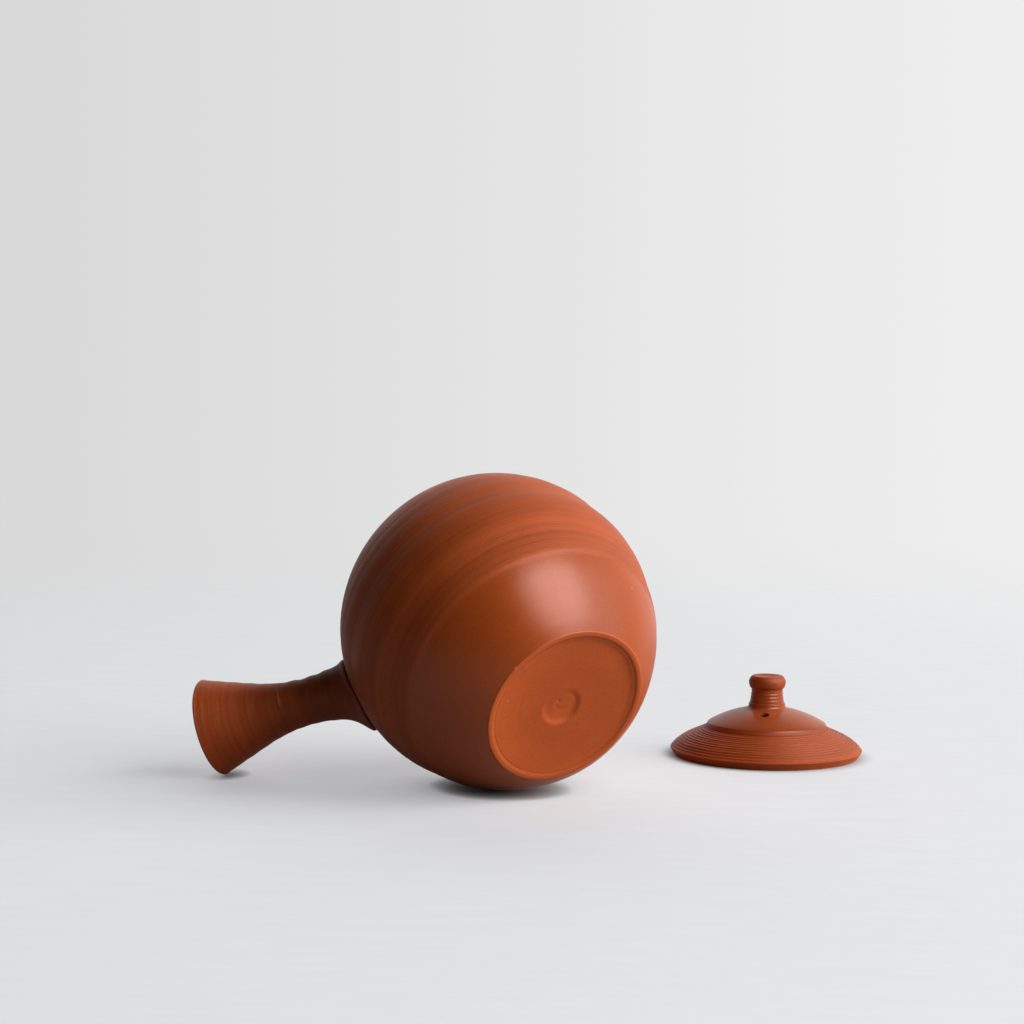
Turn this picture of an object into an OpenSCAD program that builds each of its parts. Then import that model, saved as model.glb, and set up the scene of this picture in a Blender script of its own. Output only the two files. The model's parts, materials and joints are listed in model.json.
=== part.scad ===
// Side-handled teapot of unglazed red clay, lying on its belly with the lid taken off beside it.
// The pot rests on three points: its belly, the rim of its handle and the tip of its spout.
// Every thrown piece is modelled upright in its own frame, then laid down by one placing.
// Millimetres. The table is z = 0, and the origin is under the middle of the whole group.

/* [Body] */
// Widest diameter of the body
body_d = 100; // [90:1:120]
// Height of the widest point above the foot
belly_h = 47; // [42:0.5:54]
// Diameter of the flat foot
foot_d = 53.4; // [46:0.2:60]
// Thickness of the body wall
wall = 3; // [2.4:0.1:3.6]
// Thickness of the floor over the foot
floor_t = 3.6; // [3:0.1:5]
// Width of the rim left round the foot by the trimmed recess
foot_rim_w = 2.2; // [1.5:0.1:4]
// Depth of the trimmed recess in the foot
foot_recess = 0.8; // [0.4:0.1:1.2]

/* [Mouth] */
// Width of the rim outside the lid
rim_w = 2.2; // [1.8:0.1:3]
// Width of the ledge that carries the lid
ledge_w = 3; // [2:0.1:4]
// Thickness of the ledge at its inner edge
ledge_t = 2.2; // [1.8:0.1:3]
// Slope of the underside of the ledge, in degrees
ledge_slope = 35; // [25:1:45]
// Clearance between the lid and its seat
seat_gap = 0.3; // [0.2:0.05:0.6]

/* [Handle] */
// Distance of the handle's end from the axis of the pot
handle_reach = 105.2; // [98:0.2:116]
// Rise of the handle above level when the pot stands, in degrees
handle_rise = 29.4; // [24:0.2:35]
// How far below the widest point the handle's axis meets the axis of the pot
handle_drop = 11.6; // [9:0.2:14]
// Outside diameter of the flared end
handle_end_d = 31.8; // [28:0.2:36]
// Outside diameter of the neck
handle_neck_d = 14.5; // [13:0.1:17]
// Outside diameter where the handle's axis enters the body
handle_root_d = 20.6; // [18:0.2:24]
// Distance of the neck from the flared end
handle_neck_back = 35; // [32:0.5:38]
// Radius of the curve from the neck into the flare
handle_curve_r = 56; // [44:1:62]
// Thickness of the handle wall
handle_wall = 2.4; // [2:0.1:3]

/* [Spout] */
// Distance of the spout's tip from the axis of the pot
spout_reach = 98; // [92:0.5:104]
// Rise of the spout above level when the pot stands, in degrees
spout_rise = 32; // [29:0.5:36]
// How far below the widest point the spout's axis meets the axis of the pot
spout_drop = 16; // [13:0.5:18]
// Outside diameter of the tip
spout_tip_d = 13; // [12:0.2:15]
// Outside diameter where the spout's axis enters the body
spout_root_d = 22; // [20:0.2:24]
// How sharply the spout widens at its root
spout_flare = 1.7; // [1.2:0.1:2.2]
// Thickness of the spout wall
spout_wall = 2.2; // [1.8:0.1:2.6]
// Diameter of the port through the body wall behind the spout
port_d = 15; // [12:0.5:16]

/* [Strainer] */
// Outside diameter of the strainer dome
strainer_d = 22; // [20:0.5:24]
// Thickness of the strainer dome
strainer_t = 1.8; // [1.4:0.1:2.2]
// Diameter of one strainer hole
strainer_hole_d = 1.6; // [1.2:0.1:1.8]
// Rings of holes round the middle one
strainer_rings = 4; // [2:1:4]
// Angle from one ring of holes to the next, in degrees
strainer_pitch = 15; // [14:1:16]

/* [Lid] */
// Widest diameter of the lid
lid_d = 65.8; // [60:0.2:70]
// Diameter of the face that the lid stands on
lid_foot_d = 62.6; // [56:0.2:64]
// Height of the widest edge above the face that the lid stands on
lid_edge_h = 2.5; // [2:0.1:3.5]
// Width of the rounded shoulder inside the widest edge
lid_shoulder_w = 1.3; // [0.8:0.1:2]
// Height of the rounded shoulder above the widest edge
lid_shoulder_h = 1.6; // [1:0.1:2.2]
// Diameter of the step round the dome
step_d = 39.8; // [36:0.2:44]
// Height of the step's upper edge
step_h = 11.1; // [10:0.1:12.5]
// Height of the step itself
step_rise = 1; // [0.6:0.1:1.6]
// Height that the dome would reach on the axis
dome_h = 17; // [15.5:0.1:19]
// Thickness of the lid
lid_t = 2.8; // [2.4:0.1:3.2]
// Width of the ring that the lid stands on
lid_ring_w = 2.6; // [2:0.1:3.4]
// Turned grooves between the rim and the step
groove_count = 13; // [8:1:16]
// Depth of one turned groove
groove_depth = 0.22; // [0.1:0.02:0.3]
// Diameter of the steam vent
vent_d = 2.8; // [2:0.1:3.4]
// Distance of the steam vent from the lid's axis
vent_at = 10.6; // [10:0.1:13]

/* [Knob] */
// Height of the knob's top above the face that the lid stands on
knob_top_h = 27.3; // [25:0.1:31]
// Diameter of the knob's foot
knob_foot_d = 12.4; // [11:0.1:14]
// Height of the ring at the knob's foot
knob_ring_h = 1.2; // [0.8:0.1:1.8]
// Diameter of the knob's neck under the head
knob_neck_d = 10.2; // [9:0.1:11]
// Diameter of the knob's head
knob_head_d = 12.6; // [11.5:0.1:15]
// Height of the knob's head
knob_head_h = 4.4; // [3.6:0.1:5]
// Distance of the head's widest point below its top
knob_bulge_drop = 1.9; // [1.4:0.1:2.6]
// Diameter of the flat on the knob's top
knob_top_d = 9.4; // [8:0.1:11]
// Depth of the dish in the knob's top
knob_dish = 0.5; // [0.2:0.1:0.8]
// Width of the smoothed fillet of slip round the knob's foot
knob_fillet = 2; // [1.2:0.1:2.4]

/* [Joints of slip] */
// Thickness of the slip that joins one piece to another
slip_t = 0.5; // [0.4:0.05:0.8]
// How far the slip stays back from the edge of a joint, which leaves a fine crease
crease = 0.6; // [0.4:0.05:0.8]

/* [Placing] */
// Direction of the pot's mouth as it lies, in degrees from +X
heading = 120.6; // [110:0.2:130]
// How far to the right of the pot's middle the lid stands
lid_aside = 92.8; // [90:0.2:130]
// How far behind the pot's middle the lid stands
lid_behind = 66; // [40:0.5:90]

/* [Hidden] */
$fn = 120;
clay = "#a4532f";
clay_dark = "#8a4526";
slip_clay = "#6e3820";
// Overshoot of cutting shapes past the faces that they open
past = 1;
// Steps along a curved outline
curve_steps = 12;
// Steps round each half of the knob's head
head_steps = 6;

// Body: the wall stands upright at the belly, its lower arc ends at the foot's edge
body_r = body_d / 2;
foot_r = foot_d / 2;
lower_r = arc_radius(belly_h, body_r - foot_r);
floor_z = foot_recess + floor_t;

// Lid and its seat in the mouth, flush with the rim at the lid's widest edge
lid_r = lid_d / 2;
lid_foot_r = lid_foot_d / 2;
rim_r = lid_r + seat_gap + rim_w;
mouth_h = sqrt(body_r * body_r - rim_r * rim_r);
mouth_z = belly_h + mouth_h;
seat_z = mouth_z - lid_edge_h;
mouth_r = lid_foot_r + seat_gap - ledge_w;
ledge_z = seat_z - ledge_t;

// Lid outline
step_r = step_d / 2;
shoulder = [lid_r - lid_shoulder_w, lid_edge_h + lid_shoulder_h];
step_foot = [step_r + step_rise / 2, step_h - step_rise];
cone_dir = (step_foot - shoulder) / norm(step_foot - shoulder);
cone_out = [cone_dir.y, -cone_dir.x];
dome_r = arc_radius(step_r, dome_h - step_h);
// Underside: parallel to the cone and the dome, from the ring that the lid stands on
under_step = step_foot - lid_t * cone_out;
lid_hollow_r = lid_foot_r - lid_ring_w;
lid_hollow_h = under_step.y + (lid_hollow_r - under_step.x) * cone_dir.y / cone_dir.x;

// Knob, on a flat turned on the dome
knob_foot_r = knob_foot_d / 2;
knob_seat_h = dome_at(knob_foot_r);
knob_base_h = knob_seat_h + slip_t;
knob_head_low = knob_top_h - knob_head_h;
fillet_r = knob_foot_r + knob_fillet;

// Arms: where each axis enters the body
handle_azimuth = 180;
spout_azimuth = handle_azimuth - 90;
handle_root = root_along(handle_rise, handle_drop, body_r);
handle_end_r = handle_end_d / 2;
handle_neck_r = handle_neck_d / 2;
handle_neck = handle_reach - handle_neck_back;
handle_root_r = handle_root_d / 2;
root_curve_r = arc_radius(handle_neck - handle_root, handle_root_r - handle_neck_r);
spout_root = root_along(spout_rise, spout_drop, body_r);
spout_tip_r = spout_tip_d / 2;
spout_root_r = spout_root_d / 2;
// How far an arm's outline goes on inside the body before the body cuts it
root_depth = body_r / 6;

// Strainer, square to the inside of the wall where the spout's axis enters
port_along = root_along(spout_rise, spout_drop, body_r - wall);
port_rise = atan2(port_along * sin(spout_rise) - spout_drop, port_along * cos(spout_rise));

// Leans between which the lying pot's own is sought, and how often that range is halved
lean_least = 45;
lean_most = 90;
lean_halvings = 40;
// Lying: the lean of the pot's axis from upright, and its turn about that axis
lean = lean_between(lean_least, lean_most, lean_halvings);
spin = spin_at(lean);
pot_axis = lying([0, 0, 1]);
handle_axis = lying(arm_axis(handle_azimuth, handle_rise));
handle_end = handle_reach * handle_axis - handle_drop * pot_axis;

// Middle of the group, from its handle end and belly to its lid
group_x = (handle_end.x - handle_end_r * across(handle_axis.x) + lid_aside + lid_r) / 2;
group_y = (lid_behind + lid_r - body_reach(pot_axis.y)) / 2;

// Radius of an arc that starts upright and leans in by run over a height of rise
function arc_radius(rise, run) = (rise * rise + run * run) / (2 * run);

// Length across a unit direction whose other part is given
function across(part) = sqrt(max(0, 1 - part * part));

// Distance along an arm's axis at which it meets a sphere about the belly
function root_along(rise, drop, radius) =
    drop * sin(rise) + sqrt(radius * radius - pow(drop * cos(rise), 2));

// Unit direction of an arm on the standing pot
function arm_axis(azimuth, rise) = [cos(azimuth) * cos(rise), sin(azimuth) * cos(rise), sin(rise)];

// Height of the dome at a distance from the lid's axis
function dome_at(r) = dome_h - dome_r + sqrt(dome_r * dome_r - r * r);

// Reach of the body from its belly's middle, in a direction that sinks towards the foot
function body_reach(sink) =
    sink <= belly_h / lower_r
    ? lower_r + (body_r - lower_r) * across(sink)
    : belly_h * sink + foot_r * across(sink);

// Angle below level at which the handle's rim meets the table
function handle_dip(lean) =
    asin((body_reach(cos(lean)) - handle_drop * cos(lean)) / norm([handle_reach, handle_end_r]))
    - atan2(handle_end_r, handle_reach);

// Turn about the pot's axis that puts the handle's rim on the table
function spin_at(lean) =
    let (level = -(sin(handle_dip(lean)) + sin(handle_rise) * cos(lean)) / cos(handle_rise))
    -acos(max(-1, min(1, level / sin(lean))));

// Space left under the spout's tip at a given lean
function tip_gap(lean) =
    let (turn = spin_at(lean))
    let (sink = cos(spout_rise) * sin(turn) * sin(lean) + sin(spout_rise) * cos(lean))
    body_reach(cos(lean)) - spout_drop * cos(lean) + spout_reach * sink - spout_tip_r * across(sink);

// Lean at which the spout's tip meets the table, by halving
function lean_between(low, high, halvings) =
    let (mid = (low + high) / 2)
    halvings == 0 ? mid
    : tip_gap(mid) > 0 ? lean_between(mid, high, halvings - 1)
    : lean_between(low, mid, halvings - 1);

function turn_z(v, a) = [v.x * cos(a) - v.y * sin(a), v.x * sin(a) + v.y * cos(a), v.z];
function turn_y(v, a) = [v.x * cos(a) + v.z * sin(a), v.y, v.z * cos(a) - v.x * sin(a)];
// Direction on the lying pot of a direction on the standing one
function lying(v) = turn_z(turn_y(turn_z(v, spin), lean), heading);

// Outside radius of the handle at a distance from the pot's axis
function handle_at(along) =
    let (back = handle_neck - along)
    let (rise = handle_end_r - handle_neck_r - handle_curve_r)
    let (from_curve = norm([handle_neck_back, rise]))
    let (slope = atan2(handle_neck_back, -rise) - acos(handle_curve_r / from_curve))
    back > 0 ? handle_neck_r + root_curve_r - sqrt(pow(root_curve_r, 2) - back * back)
    : -back < handle_curve_r * sin(slope)
      ? handle_neck_r + handle_curve_r - sqrt(pow(handle_curve_r, 2) - back * back)
      : handle_end_r - (handle_reach - along) * tan(slope);

// Outside radius of the spout at a distance from the pot's axis
function spout_at(along) =
    spout_tip_r + (spout_root_r - spout_tip_r)
    * pow((spout_reach - along) / (spout_reach - spout_root), spout_flare);

// Even steps from one value to another
function steps(from, to, count) = [for (i = [0:count]) from + (to - from) * i / count];

// Lays a standing piece of the pot down on the table, in the frame of the group
module laid_down()
    translate([-group_x, -group_y, body_reach(cos(lean))])
        rotate([0, 0, heading]) rotate([0, lean, 0]) rotate([0, 0, spin])
            translate([0, 0, -belly_h]) children();

// Stands a piece of the lid where the lid stands
module set_aside()
    translate([lid_aside - group_x, lid_behind - group_y, 0]) children();

// Points +Z outwards along an arm, from where its axis meets the axis of the pot
module along_arm(azimuth, rise, drop)
    translate([0, 0, belly_h - drop]) rotate([0, 90 - rise, azimuth]) children();

// Half outline of the body, grown outwards by an amount
module body_outline(grow) {
    intersection() {
        translate([body_r - lower_r, belly_h]) circle(lower_r + grow);
        square([body_r + grow, belly_h]);
    }
    translate([0, belly_h])
        intersection() {
            circle(body_r + grow);
            square([body_r + grow, mouth_h]);
        }
}

// Solid form of the body, with no hollow, grown outwards by an amount
module body_form(grow)
    rotate_extrude() body_outline(grow);

// Half outline of the hollow, up through the mouth, kept clear of its walls by an amount
module hollow_outline(clear)
    difference() {
        intersection() {
            body_outline(-wall - clear);
            translate([0, floor_z + clear]) square([body_r, mouth_z]);
        }
        translate([0, -clear])
            polygon([[mouth_r, ledge_z],
                     [body_r, ledge_z - (body_r - mouth_r) * tan(ledge_slope)],
                     [body_r, mouth_z + past],
                     [mouth_r, mouth_z + past]]);
    }

// Solid form of the hollow, kept clear of its walls by an amount
module hollow_form(clear)
    rotate_extrude() hollow_outline(clear);

// Half outline of the seat that the lid drops into
module seat_outline()
    polygon([[0, seat_z], [lid_foot_r + seat_gap, seat_z], [lid_r + seat_gap, mouth_z],
             [lid_r + seat_gap, mouth_z + past], [0, mouth_z + past]]);

// Solid of revolution from a list of radii at distances along an arm
module turned_arm(alongs, radii)
    rotate_extrude()
        polygon(concat([[0, alongs[0]]],
                       [for (i = [0:len(alongs) - 1]) [radii[i], alongs[i]]],
                       [[0, alongs[len(alongs) - 1]]]));

// Handle form, drawn in from its outside by an amount
module handle_form(inset) {
    alongs = concat(steps(handle_root - root_depth, handle_neck, curve_steps),
                    steps(handle_neck, handle_reach, curve_steps));
    along_arm(handle_azimuth, handle_rise, handle_drop)
        turned_arm(alongs, [for (s = alongs) handle_at(s) - inset]);
}

// Spout form, drawn in from its outside by an amount
module spout_form(inset) {
    alongs = steps(spout_root - root_depth, spout_reach, curve_steps);
    along_arm(spout_azimuth, spout_rise, spout_drop)
        turned_arm(alongs, [for (s = alongs) spout_at(s) - inset]);
}

// Hollow of an arm, opened past its end
module open_end(azimuth, rise, drop, reach, radius)
    along_arm(azimuth, rise, drop)
        translate([0, 0, reach - past / 10]) cylinder(r = radius, h = past);

// Points +Z from the inside of the wall at the spout's port towards the belly's middle
module at_port()
    translate([0, 0, belly_h]) rotate([0, 90 - port_rise, spout_azimuth])
        translate([0, 0, body_r - wall]) rotate([180, 0, 0]) children();

// Dome of the strainer, drawn in by an amount
module strainer_ball(inset)
    at_port() sphere(d = strainer_d - 2 * inset);

// Rings of strainer holes, square to the dome
module strainer_holes()
    at_port()
        for (ring = [0:strainer_rings], hole = [0:max(0, 6 * ring - 1)])
            rotate([0, 0, hole * 60 / max(1, ring)]) rotate([0, ring * strainer_pitch, 0])
                translate([0, 0, strainer_d / 2 - 1.5 * strainer_t])
                    cylinder(d = strainer_hole_d, h = 2 * strainer_t, $fn = 24);

module pot_body()
    color(clay) laid_down()
        difference() {
            rotate_extrude()
                difference() {
                    body_outline(0);
                    hollow_outline(0);
                    seat_outline();
                    translate([0, -past]) square([foot_r - foot_rim_w, foot_recess + past]);
                }
            along_arm(spout_azimuth, spout_rise, spout_drop)
                translate([0, 0, port_along - port_d / 2])
                    cylinder(d = port_d, h = port_d + wall);
        }

module handle()
    color(clay) laid_down()
        difference() {
            handle_form(0);
            handle_form(handle_wall);
            open_end(handle_azimuth, handle_rise, handle_drop, handle_reach, handle_end_r - handle_wall);
            body_form(slip_t);
        }

module handle_slip()
    color(slip_clay) laid_down()
        difference() {
            intersection() {
                handle_form(crease);
                body_form(slip_t);
            }
            handle_form(handle_wall - crease);
            body_form(0);
        }

module spout()
    color(clay) laid_down()
        difference() {
            spout_form(0);
            spout_form(spout_wall);
            open_end(spout_azimuth, spout_rise, spout_drop, spout_reach, spout_tip_r - spout_wall);
            body_form(slip_t);
        }

module spout_slip()
    color(slip_clay) laid_down()
        difference() {
            intersection() {
                spout_form(crease);
                body_form(slip_t);
            }
            spout_form(spout_wall - crease);
            body_form(0);
        }

module strainer()
    color(clay_dark) laid_down()
        difference() {
            intersection() {
                strainer_ball(0);
                hollow_form(slip_t);
            }
            strainer_ball(strainer_t);
            strainer_holes();
        }

module strainer_slip()
    color(slip_clay) laid_down()
        difference() {
            intersection() {
                strainer_ball(crease / 2);
                hollow_form(0);
            }
            strainer_ball(strainer_t - crease / 2);
            hollow_form(slip_t);
        }

// Turned grooves between the rim and the step, as points of the lid's outline
function groove_points() =
    [for (i = [0:groove_count - 1], side = [0, 1])
        let (at = shoulder + (step_foot - shoulder) * (i + 1 + side / 2) / (groove_count + 2))
        side == 0 ? at : at - groove_depth * cone_out];

// Dome from the step to the flat that carries the knob
function dome_points() =
    [for (r = concat(steps(step_r, fillet_r, curve_steps), [knob_foot_r])) [r, dome_at(r)]];

// Underside of the dome, parallel to its outside
function under_dome_points() =
    let (inner_r = dome_r - lid_t)
    [for (r = steps(under_step.x, 0, curve_steps))
        [r, dome_h - dome_r + sqrt(inner_r * inner_r - r * r)]];

module lid()
    color(clay) set_aside()
        difference() {
            rotate_extrude()
                difference() {
                    polygon(concat([[0, 0], [lid_foot_r, 0], [lid_r, lid_edge_h], shoulder],
                                   groove_points(), [step_foot],
                                   dome_points(), [[0, knob_seat_h]]));
                    polygon(concat([[0, -past], [lid_hollow_r, -past], [lid_hollow_r, lid_hollow_h],
                                    under_step], under_dome_points()));
                }
            translate([0, -vent_at, step_h - lid_t]) cylinder(d = vent_d, h = dome_h, $fn = 48);
        }

module lid_knob() {
    head_r = knob_head_d / 2;
    neck_r = knob_neck_d / 2;
    top_r = knob_top_d / 2;
    ring_top = knob_base_h + knob_ring_h;
    bulge_h = knob_top_h - knob_bulge_drop;
    under = [for (a = steps(-90, 0, head_steps))
        [neck_r + (head_r - neck_r) * cos(a), bulge_h + (bulge_h - knob_head_low) * sin(a)]];
    over = [for (a = steps(0, 90, head_steps))
        [top_r + (head_r - top_r) * cos(a), bulge_h + knob_bulge_drop * sin(a)]];
    color(clay) set_aside()
        rotate_extrude()
            polygon(concat([[0, knob_base_h], [knob_foot_r, knob_base_h], [knob_foot_r, ring_top],
                            [knob_foot_r - crease / 2, ring_top]],
                           under, over, [[0, knob_top_h - knob_dish]]));
}

module knob_slip() {
    slope = (knob_seat_h - dome_at(fillet_r)) / knob_fillet;
    climb = knob_base_h + knob_ring_h / 2 - knob_seat_h;
    fillet = [for (a = steps(0, 90, curve_steps / 2))
        let (in = knob_fillet * sin(a))
        [fillet_r - in, dome_at(fillet_r) + slope * in + climb * (1 - cos(a))]];
    color(slip_clay) set_aside()
        rotate_extrude()
            polygon(concat([[0, knob_seat_h], [knob_foot_r, knob_seat_h]], fillet,
                           [[knob_foot_r, knob_base_h], [0, knob_base_h]]));
}

pot_body();
handle();
handle_slip();
spout();
spout_slip();
strainer();
strainer_slip();
lid();
lid_knob();
knob_slip();
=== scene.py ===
# Looks of a side-handled clay teapot lying on its belly, with its lid standing beside it.
# Sizes are in millimetres and angles in radians, unless a name says otherwise.
import json
from math import acos, asin, cos, pi, radians, sin, sqrt, tan

import bmesh
import bpy
import numpy as np
from mathutils import Matrix, Vector


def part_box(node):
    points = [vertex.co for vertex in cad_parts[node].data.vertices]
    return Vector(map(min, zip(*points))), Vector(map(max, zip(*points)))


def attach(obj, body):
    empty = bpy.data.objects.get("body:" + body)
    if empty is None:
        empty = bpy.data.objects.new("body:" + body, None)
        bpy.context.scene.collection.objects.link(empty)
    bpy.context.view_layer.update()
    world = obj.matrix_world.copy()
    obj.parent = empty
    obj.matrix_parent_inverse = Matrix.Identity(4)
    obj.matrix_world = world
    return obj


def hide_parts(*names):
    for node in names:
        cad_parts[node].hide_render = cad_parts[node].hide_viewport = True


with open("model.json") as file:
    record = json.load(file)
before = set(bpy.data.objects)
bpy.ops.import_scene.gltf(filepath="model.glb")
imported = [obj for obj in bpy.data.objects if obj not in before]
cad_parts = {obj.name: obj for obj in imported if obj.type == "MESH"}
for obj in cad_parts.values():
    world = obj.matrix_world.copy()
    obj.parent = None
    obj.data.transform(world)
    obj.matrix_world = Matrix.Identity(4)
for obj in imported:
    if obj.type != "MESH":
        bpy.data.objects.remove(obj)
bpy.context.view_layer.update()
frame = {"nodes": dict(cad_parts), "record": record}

MM = 0.001

# Body: heights are from the belly, where it is widest
BODY_R = 50.0
BELLY_H = 47.0
WALL = 3.0
FLOOR_T = 3.2
FLOOR_FILLET = 7.0
# Where the hollow's plain wall starts above its floor, in fillets, and how far below the ledge it ends
FLOOR_CLEAR = 1.5
LEDGE_CLEAR = 2.0

# Foot: a rim, a cove inside it and a wide dish, with fillets from the outside in
FOOT_R = 26.7
FOOT_RIM_W = 1.1
FOOT_COVE_W = 1.3
FOOT_COVE_H = 0.34
FOOT_DISH_W = 10.0
FOOT_RECESS = 1.2
FOOT_FILLETS = (0.7, 1.4, 3.5, 60.0, 0)

# Mouth and the ledge that the lid drops onto, with fillets from the inside out
LID_R = 32.9
LID_FOOT_R = 31.3
LID_EDGE_H = 2.5
SEAT_GAP = 0.3
RIM_W = 2.2
LEDGE_W = 3.0
LEDGE_T = 2.2
LEDGE_SLOPE = radians(35)
MOUTH_FILLETS = (1.5, 0.7, 0.6, 0.4, 0.6, 0.8)

# Handle: distances along it are from the pot's axis
HANDLE_RISE = radians(29.4)
HANDLE_DROP = 11.6
HANDLE_REACH = 105.2
HANDLE_END_R = 15.9
HANDLE_NECK_R = 7.25
HANDLE_ROOT_R = 10.3
HANDLE_NECK_BACK = 35.0
HANDLE_CURVE_R = 56.0
HANDLE_WALL = 2.4

# Spout
SPOUT_RISE = radians(32)
SPOUT_DROP = 16.0
SPOUT_REACH = 98.0
SPOUT_TIP_R = 6.5
SPOUT_ROOT_R = 11.0
SPOUT_FLARE = 1.7
SPOUT_WALL = 2.2
PORT_R = 7.5
# Cut of the port along the spout's axis
PORT_START = 40.0
PORT_CUT = 25.0

# Lid: heights are from the table
LID_SHOULDER_W = 1.3
LID_SHOULDER_H = 1.6
STEP_R = 20.1
STEP_H = 11.4
STEP_RISE = 1.35
DOME_H = 17.0
LID_T = 2.8
LID_RING_W = 2.6
CONE_BULGE = 0.9
VENT_R = 1.6
VENT_AT = 10.6
VENT_TURN = radians(-9.5)
# Fillets round the lid's edge, from below its step to the top of the step
LID_FILLETS = (2.0, 1.0, 0.5, 0.4, 0.5, 3.0, 0.15, 0.45)
# Turned grooves: depth, half width in pitches, and how much and how fast the depth varies from one
# to the next and round each
GROOVES = 11
GROOVE_DEPTH = 0.28
GROOVE_W = 0.28
GROOVE_VARIES = (0.25, 2.4)
GROOVE_WORN = (0.05, 1.7)

# Knob
KNOB_TOP_H = 27.6
KNOB_FOOT_R = 6.2
KNOB_RING_H = 1.2
KNOB_NECK_R = 5.25
KNOB_HEAD_R = 6.3
KNOB_HEAD_H = 4.4
KNOB_BULGE_DROP = 1.9
KNOB_TOP_R = 5.0
KNOB_DISH = 0.5
KNOB_FILLET = 1.5

# Slip that joins the arms and the knob
SLIP_T = 0.5

# Worked out from the sizes above
LOWER_R = (BELLY_H ** 2 + (BODY_R - FOOT_R) ** 2) / (2 * (BODY_R - FOOT_R))
RIM_R = LID_R + SEAT_GAP + RIM_W
MOUTH_H = sqrt(BODY_R ** 2 - RIM_R ** 2)
MOUTH_R = LID_FOOT_R + SEAT_GAP - LEDGE_W
SEAT_H = MOUTH_H - LID_EDGE_H
LEDGE_H = SEAT_H - LEDGE_T
FLOOR_H = FOOT_RECESS + FLOOR_T - BELLY_H
DOME_R = (STEP_R ** 2 + (DOME_H - STEP_H) ** 2) / (2 * (DOME_H - STEP_H))

# Points round each turned piece, each hole and the floor
BODY_SIDES = 384
ARM_SIDES = 192
LID_SIDES = 320
KNOB_SIDES = 160
HOLE_SIDES = 64
FLOOR_SIDES = 96

# Points along curves, and the longest stretch between two points of an outline
LONG_ROWS = 60
SHORT_ROWS = 16
INSIDE_STEP = 1.5
HOLLOW_SPACING = 1.2
FOOT_SPACING = 0.3
LID_SPACING = 0.09
KNOB_SPACING = 0.2
SLIP_SPACING = 0.6


def unit(vector):
    return np.asarray(vector) / np.linalg.norm(vector)


def bell(x):
    return np.exp(-np.square(x))


def smooth_step(x, low, high):
    """0 below low and 1 above high, with a smooth rise between them."""
    t = np.clip((x - low) / (high - low), 0, 1)
    return t * t * (3 - 2 * t)


def ringed(x, rings):
    """Height of rings (place, half width, height) at places x."""
    return sum(height * bell((x - at) / width) for at, width, height in rings)


def one_side(around, middle):
    """1 at the middle angle of one side of a turned piece, and 0 on its far side."""
    return 0.5 + 0.5 * np.cos(around - middle)


def angles(count):
    """Angles evenly spaced round a circle."""
    return np.linspace(0, 2 * pi, count, endpoint=False)


def round_axis(r, angle, h):
    """Points at radii, angles and heights about +Z."""
    return np.stack(np.broadcast_arrays(r * np.cos(angle), r * np.sin(angle), h), axis=-1)


# Places from the frame

def node_points(node):
    """Corner points of a CAD node."""
    mesh = frame["nodes"][node].data
    points = np.empty(len(mesh.vertices) * 3)
    mesh.vertices.foreach_get("co", points)
    return points.reshape(-1, 3) / MM


def node_middle(node):
    """Middle of a CAD node's surface, by area."""
    faces = frame["nodes"][node].data.polygons
    areas = np.array([face.area for face in faces])
    centres = np.array([face.center for face in faces])
    return areas @ centres / areas.sum() / MM


def mount_axis(name):
    return np.array(next(m["axis"] for m in frame["record"]["mounts"] if m["name"] == name))


def place_matrix(axes, origin):
    """Matrix from a piece's own frame, given by its axes, to the shared frame."""
    place = np.eye(4)
    place[:3, :3] = np.transpose(axes)
    place[:3, 3] = origin
    return place


def pot_place():
    """Frame of the pot: +Z is its axis, its handle is towards -X, and the belly is at 0."""
    up = unit(-mount_axis("foot"))
    side = unit(np.cross(up, (0, 0, 1)))
    axes = np.array([side, np.cross(up, side), up])
    local = node_points("pot_body") @ axes.T
    low, high = local.min(axis=0), local.max(axis=0)
    middle = (low + high) / 2
    middle[2] = low[2] + BELLY_H
    belly = middle @ axes
    out = node_middle("handle") - belly
    handle_side = unit(out - up * (out @ up))
    return place_matrix([-handle_side, np.cross(up, -handle_side), up], belly)


def lid_place():
    """Frame of the lid: +Z is its axis, and the table is at 0."""
    low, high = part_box("lid")
    middle = (low + high) / 2 / MM
    return place_matrix(np.eye(3), (middle.x, middle.y, low.z / MM))


def arm_place(azimuth, rise, drop):
    """Frame of an arm in the pot's frame: +Z runs out along it, from where it meets the pot's axis."""
    axis = np.array((cos(azimuth) * cos(rise), sin(azimuth) * cos(rise), sin(rise)))
    side = np.array((-sin(azimuth), cos(azimuth), 0))
    return place_matrix([np.cross(side, axis), side, axis], (0, 0, -drop))


def carried(points, place):
    return points @ place[:3, :3].T + place[:3, 3]


# The frames of the pot, the lid and the arms, and the handle's upper and front side as the pot lies
pot = pot_place()
lid = lid_place()
handle_local = arm_place(pi, HANDLE_RISE, HANDLE_DROP)
spout_local = arm_place(pi / 2, SPOUT_RISE, SPOUT_DROP)
to_handle = np.linalg.inv(pot @ handle_local)[:3, :3]
table_up = to_handle @ (0, 0, 1)
table_front = to_handle @ (0, -1, 0)
HANDLE_TOP = np.arctan2(table_up[1], table_up[0])
HANDLE_FRONT = np.arctan2(table_front[1], table_front[0])


# Outlines

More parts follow.
